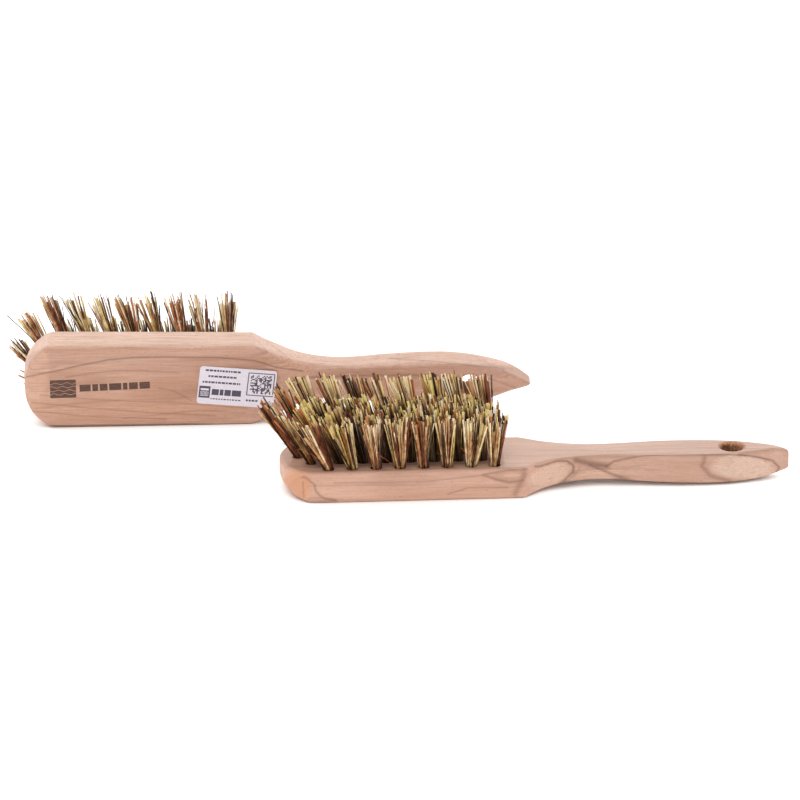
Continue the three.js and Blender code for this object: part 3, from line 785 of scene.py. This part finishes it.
def tuft_mesh(rng, which, row, x, y, m, count, end, tone):
    dx, dy, h = tip_of(which, row, x, end)
    outer = row in (0, 4)
    base_r = 2.95
    # the fibres fan out, most of all along the row
    wide, deep = (7.1, 5.0) if which == "front" else (5.6, 4.9)
    if end:
        wide, deep = 5.2, 5.6
    elif not outer:
        wide, deep = 6.8, 5.6
    prob = TONES[tone]
    verts, faces, mats = [], [], []
    K, S = 5, 6
    for _ in range(count):
        hair = rng.random() < 0.05
        r = base_r * math.sqrt(rng.random())
        t = rng.random() * 2 * math.pi
        bx, by = r * math.cos(t), r * math.sin(t)
        ex = dx + bx * (wide / base_r - 1) + rng.normal(0, 1.15)
        ey = dy + by * (deep / base_r - 1) + rng.normal(0, 0.9)
        L = h * (1 + rng.normal(0, 0.045 if which == "front" else 0.05))
        stray = False
        if rng.random() < 0.12:
            L *= rng.uniform(0.74, 0.94)
        if rng.random() < (0.05 if which == "front" else 0.09):
            ex += rng.normal(0, 4.0)
            ey += rng.normal(0, 2.5)
            stray = True
        p0 = np.array([x + bx, y + by, THICK - 4.0])
        p1 = np.array([x + bx, y + by, THICK + 0.2])
        f = 0.45 + rng.normal(0, 0.04)
        bow = np.array([rng.normal(0, 0.7), rng.normal(0, 0.6), 0])
        if hair:
            bow = np.array([rng.normal(0, 3.0), rng.normal(0, 2.0), 0])
            L *= rng.uniform(0.45, 0.9)
            ex += rng.normal(0, 3.5)
        p2 = np.array([x + bx + ex * f * 0.93, y + by + ey * f * 0.93, THICK + L * f])
        p3 = np.array([x + bx + ex, y + by + ey, THICK + L])
        ts = np.linspace(0, 1, S)
        line = [p0]
        for q in ts[1:]:
            w = (q - ts[1]) / (1 - ts[1])
            line.append((1 - w) ** 2 * p1 + 2 * w * (1 - w) * (p2 + bow) + w * w * p3)
        line = np.array(line)
        # keep clear of the ground
        wz = place(m, line)[:, 2] / MM
        need = FLOOR_CLEAR + 0.6
        low = wz < need
        if low.any():
            up = np.linalg.inv(m[:3, :3]) @ np.array([0, 0, 1.0])
            line[low] += up[None, :] * (need - wz[low])[:, None]
        if which == "front":
            width = rng.choice([0.7, 1.0, 1.3, 1.65, 2.1], p=[0.19, 0.26, 0.28, 0.18, 0.09])
        else:
            width = rng.choice([0.5, 0.75, 1.0, 1.35, 1.8], p=[0.22, 0.28, 0.26, 0.16, 0.08])
        if stray:
            width = rng.uniform(0.4, 0.7)
        thick = width * rng.uniform(0.4, 0.62)
        if width < 0.8:
            thick = width * rng.uniform(0.65, 0.95)
        if hair:
            width, thick = 0.32, 0.3
        twist0 = rng.random() * math.pi
        twist = rng.normal(0, 0.45)
        base = len(verts)
        taper_tip = rng.uniform(0.8, 1.12)
        cut = rng.uniform(-0.55, 0.55)
        for i, c in enumerate(line):
            q = i / (S - 1)
            d = line[min(i + 1, S - 1)] - line[max(i - 1, 0)]
            d = d / np.linalg.norm(d)
            a = np.cross(d, [0, 1, 0.01])
            a /= np.linalg.norm(a)
            b = np.cross(d, a)
            ang = twist0 + twist * q
            wv = width * (0.86 + (taper_tip - 0.86) * q) * 0.5
            tv = thick * (0.95 + (0.85 - 0.95) * q) * 0.5
            for s in range(K):
                g = 2 * math.pi * s / K
                cu, cv = wv * math.cos(g), tv * math.sin(g)
                e1 = a * math.cos(ang) + b * math.sin(ang)
                e2 = -a * math.sin(ang) + b * math.cos(ang)
                tilt = (cut * cu) if (i == S - 1) else 0.0
                verts.append(c + e1 * cu + e2 * cv + d * tilt)
        for i in range(S - 1):
            for s in range(K):
                s2 = (s + 1) % K
                faces.append((base + i * K + s, base + i * K + s2, base + (i + 1) * K + s2, base + (i + 1) * K + s))
        faces.append(tuple(base + s for s in reversed(range(K))))
        faces.append(tuple(base + (S - 1) * K + s for s in range(K)))
        mi = int(rng.choice(10, p=prob))
        if hair:
            mi = int(rng.choice([5, 6, 7]))
        mats += [mi] * ((S - 1) * K + 2)
    return verts, faces, mats


def build_tufts(which, m, seed, fibres):
    names = {"front": ("near", "far"), "rear": ("upper", "lower")}[which]
    inner = {"front": ("near", "middle", "far"), "rear": ("upper", "middle", "lower")}[which]
    rng = np.random.default_rng(seed)
    for row, line in enumerate(layout(which)):
        for i, (x, y) in enumerate(line):
            outer = row in (0, 4)
            end = row in (1, 2, 3) and i == 0
            if outer:
                tone = (REAR_UPPER if which == "rear" else FRONT_NEAR if row == 0 else FRONT_FAR)[i]
            else:
                tone = ("brown" if which == "front" else "mid") if end else "inner"
            v, f, mats = tuft_mesh(rng, which, row, x, y, m, 40 if outer or end else 42, end, tone)
            v = place(m, v)
            if outer:
                node = f"{which}_tuft_{names[1 if row else 0]}_{i + 1}"
                piece = f"fibres_{which}_{names[1 if row else 0]}_{i + 1}"
            elif i == 0:
                node = f"{which}_tuft_end_{row}"
                piece = f"fibres_{which}_end_{row}"
            elif i == len(line) - 1:
                node = f"{which}_tuft_neck_{row}"
                piece = f"fibres_{which}_neck_{row}"
            else:
                node = f"{which}_tufts_inner_{inner[row - 1]}"
                piece = f"fibres_{which}_inner_{inner[row - 1]}_{i}"
            ob = mesh_object(piece, v, f, fibres, mats)
            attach(ob, which + "_brush")
            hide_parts(node)


build_tufts("front", FRONT, 11, FIB_FRONT)
build_tufts("rear", REAR, 23, FIB_REAR)

# ---------------------------------------------------------------- label and burned mark on the rear brush
ink, nt, bsdf = nodes_of("label_ink")
net = Net(nt)
tc = net.node("ShaderNodeTexCoord")
nz = net.noise(net.mapping(tc.outputs["Object"], scale=(1500, 1500, 1500)), 1.0, 3.0, 0.6)
net.link(net.ramp(nz, [(0.3, lin((56, 50, 64))), (0.7, lin((84, 78, 94)))]), bsdf.inputs["Base Color"])
bsdf.inputs["Roughness"].default_value = 0.55

paper, nt, bsdf = nodes_of("label_paper")
net = Net(nt)
tc = net.node("ShaderNodeTexCoord")
nz = net.noise(net.mapping(tc.outputs["Object"], scale=(600, 600, 600)), 1.0, 4.0, 0.6)
net.link(net.ramp(nz, [(0.3, lin((211, 204, 213))), (0.7, lin((222, 215, 224)))]), bsdf.inputs["Base Color"])
bsdf.inputs["Roughness"].default_value = 0.45
bump = net.node("ShaderNodeBump")
bump.inputs["Strength"].default_value = 0.15
bump.inputs["Distance"].default_value = 0.0001
net.link(nz, bump.inputs["Height"])
net.link(bump.outputs[0], bsdf.inputs["Normal"])
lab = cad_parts["rear_brush_label"]
lab.data.materials.clear()
lab.data.materials.append(paper)

burn, nt, bsdf = nodes_of("burned_mark")
net = Net(nt)
v = brush_coords(net, REAR)
nz = net.noise(net.mapping(v, scale=(0.3, 2.2, 2.2)), 1.0, 4.0, 0.6)
net.link(net.ramp(nz, [(0.3, lin((70, 46, 36))), (0.55, lin((90, 62, 48))), (0.8, lin((122, 86, 66)))]), bsdf.inputs["Base Color"])
bsdf.inputs["Roughness"].default_value = 0.75


def slab(rects, top, thick=0.05):
    """Thin prints: polygons in x, y on a plane of brush height top, a little thick."""
    verts, faces = [], []
    for poly in rects:
        b = len(verts)
        k = len(poly)
        verts += [(px, py, top) for px, py in poly]
        verts += [(px, py, top - thick) for px, py in poly]
        faces.append(tuple(range(b, b + k)))
        faces.append(tuple(reversed(range(b + k, b + 2 * k))))
        for i in range(k):
            j = (i + 1) % k
            faces.append((b + i, b + k + i, b + k + j, b + j))
    return verts, faces


def turned(poly, cx, cy, a):
    c, s = math.cos(a), math.sin(a)
    return [(cx + c * px - s * py, cy + s * px + c * py) for px, py in poly]


def box2(x0, y0, x1, y1):
    return [(x0, y0), (x1, y0), (x1, y1), (x0, y1)]


# burned mark: a plain block crossed by light waves, then a row of plain bars
polys = []
bw, bh = 15.4, 12.2
waves = [-3.6, -1.2, 1.2, 3.6]
N = 28
xs = np.linspace(-bw / 2, bw / 2, N)


def wave(y0, off):
    return [(float(a), y0 + off + 0.55 * math.sin(a * 0.95 + y0)) for a in xs]


cur = [(float(a), -bh / 2) for a in xs]
for y0 in waves:
    nxt = wave(y0, -0.17)
    for i in range(N - 1):
        polys.append([cur[i], cur[i + 1], nxt[i + 1], nxt[i]])
    cur = wave(y0, 0.17)
nxt = [(float(a), bh / 2) for a in xs]
for i in range(N - 1):
    polys.append([cur[i], cur[i + 1], nxt[i + 1], nxt[i]])
mark = [turned(p, 22.8, 1.2, -0.03) for p in polys]
bx = 32.6
for w in (6.6, 3.4, 4.6, 7.2, 2.6, 5.2, 6.2):
    cy = 1.3 - 0.045 * (bx + w / 2 - 22.9)
    mark.append(turned(box2(-w / 2, -2.3, w / 2, 2.3), bx + w / 2, cy, -0.045))
    bx += w + 1.0
v, f = slab(mark, 0.01, 0.05)
mark_ob = mesh_object("burned_mark_rear", place(REAR, v), f, [burn], smooth=False)
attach(mark_ob, "rear_brush")

# label print: grey lines, a small brush picture with a bar, and a framed field of dots
rngl = np.random.default_rng(5)
LX, LY, LT = 126.1, 0.8, 0.09
polys = []


def on_label(poly):
    return turned(poly, LX, LY, LT)


def broken_line(x0, x1, y0, hh, lo, hi, gap):
    at = x0
    while at < x1 - 0.4:
        w = min(float(rngl.uniform(lo, hi)), x1 - at)
        polys.append(on_label(box2(at, y0 - hh, at + w, y0 + hh)))
        at += w + gap


broken_line(-19.6, 1.4, -10.2, 0.62, 0.9, 2.2, 0.45)
broken_line(-17.6, -0.1, -6.3, 0.62, 0.9, 2.2, 0.45)
broken_line(-20.7, 1.8, -2.2, 0.62, 0.9, 2.2, 0.45)
broken_line(-14.9, 3.2, 8.9, 0.4, 0.7, 1.6, 0.6)
broken_line(6.2, 14.0, 8.4, 0.6, 1.0, 1.8, 0.5)
for a, b in ((-14.6, -10.4), (-9.8, -7.6), (-7.0, -3.2), (-2.6, 2.9)):
    polys.append(on_label(box2(a, 2.3, b, 6.3)))
# a brush picture: dark block with a light head and bristles
bx0, by0, bx1, by1 = -22.2, 0.6, -15.6, 8.6
polys.append(on_label(box2(bx0, by0, bx1, by0 + 1.6)))
polys.append(on_label(box2(bx0, by1 - 1.2, bx1, by1)))
polys.append(on_label(box2(bx0, by0 + 1.6, bx0 + 0.9, by1 - 1.2)))
polys.append(on_label(box2(bx1 - 0.9, by0 + 1.6, bx1, by1 - 1.2)))
polys.append(on_label(box2(bx0 + 0.9, by0 + 3.0, bx1 - 0.9, by0 + 3.7)))
for i in range(6):
    a = bx0 + 1.1 + 0.78 * i
    polys.append(on_label(box2(a, by0 + 3.9, a + 0.42, by1 - 1.5)))
# frame and dots
fx0, fy0, fx1, fy1 = 6.0, -10.6, 22.0, 5.0
fw = 0.55
for r in (box2(fx0, fy0, fx1, fy0 + fw), box2(fx0, fy1 - fw, fx1, fy1), box2(fx0, fy0 + fw, fx0 + fw, fy1 - fw), box2(fx1 - fw, fy0 + fw, fx1, fy1 - fw)):
    polys.append(on_label(r))
for i in range(15):
    for j in range(15):
        if rngl.random() < 0.5:
            qx, qy = fx0 + 1.75 + i * 0.84, fy0 + 1.55 + j * 0.84
            polys.append(on_label(box2(qx, qy, qx + 0.8, qy + 0.8)))
v, f = slab(polys, -0.41, 0.04)
print_ob = mesh_object("label_print", place(REAR, v), f, [ink], smooth=False)
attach(print_ob, "rear_brush")

# ---------------------------------------------------------------- floor, light, camera
floor_mat, nt, bsdf = nodes_of("floor_white")
bsdf.inputs["Base Color"].default_value = (0.96, 0.96, 0.96, 1)
bsdf.inputs["Roughness"].default_value = 0.9
bsdf.inputs["Specular IOR Level"].default_value = 0.1
net = Net(nt)
near_floor = net.node("ShaderNodeAmbientOcclusion")
near_floor.inputs["Distance"].default_value = 0.02
net.link(net.ramp(near_floor.outputs["AO"], [(0.22, (0, 0, 0)), (0.62, (1, 1, 1))]), bsdf.inputs["Emission Color"])
bsdf.inputs["Emission Strength"].default_value = 0.36
floor = mesh_object(
    "floor", [(-6, -5, 0), (6, -5, 0), (6, 9, 0), (-6, 9, 0)], [(0, 1, 2, 3)], [floor_mat], smooth=False
)

scene = bpy.context.scene
world = bpy.data.worlds.new("studio")
world.use_nodes = True
wnet = Net(world.node_tree)
bg = world.node_tree.nodes["Background"]
wtc = wnet.node("ShaderNodeTexCoord")
_, _, wz_ = wnet.sep(wtc.outputs["Generated"])
# a white tent: brighter walls, softer roof
wnet.link(wnet.ramp(wz_, [(0.0, (1.0, 1.0, 1.0)), (0.45, (1.0, 1.0, 1.0)), (0.85, (0.62, 0.62, 0.62))]), bg.inputs["Color"])
bg.inputs["Strength"].default_value = 1.15
scene.world = world


def area(name, loc, target, size, power, col=(1, 1, 1)):
    ld = bpy.data.lights.new(name, "AREA")
    ld.energy = power
    ld.size = size
    ld.color = col
    ob = bpy.data.objects.new(name, ld)
    scene.collection.objects.link(ob)
    ob.location = loc
    ob.visible_camera = False
    d = Vector(target) - Vector(loc)
    ob.rotation_euler = d.to_track_quat("-Z", "Y").to_euler()
    return ob


area("key", (-0.5, -0.3, 1.9), (0, 0.05, 0), 1.4, 8.0)
back = area("backdrop", (0, 1.9, 0.75), (0, 0, 0.75), 1.5, 17.0)
back.data.shape = "RECTANGLE"
back.data.size = 3.2
back.data.size_y = 1.5

E = math.radians(19.976)
D = 4.8
target = Vector((0.003366, 0.090973, 0.0))
cam_data = bpy.data.cameras.new("camera")
cam_data.sensor_width = 36.0
cam_data.sensor_fit = "HORIZONTAL"
cam_data.lens = 1.6625 * D * 1000 / 800 * 36.0
cam_data.clip_start = 0.05
cam_data.clip_end = 60
cam = bpy.data.objects.new("camera", cam_data)
scene.collection.objects.link(cam)
cam.location = target - D * Vector((0, math.cos(E), -math.sin(E)))
cam.rotation_euler = (math.pi / 2 - E, 0, 0)
scene.camera = cam
scene.view_settings.view_transform = "Standard"
scene.view_settings.look = "None"
scene.view_settings.exposure = 0.0
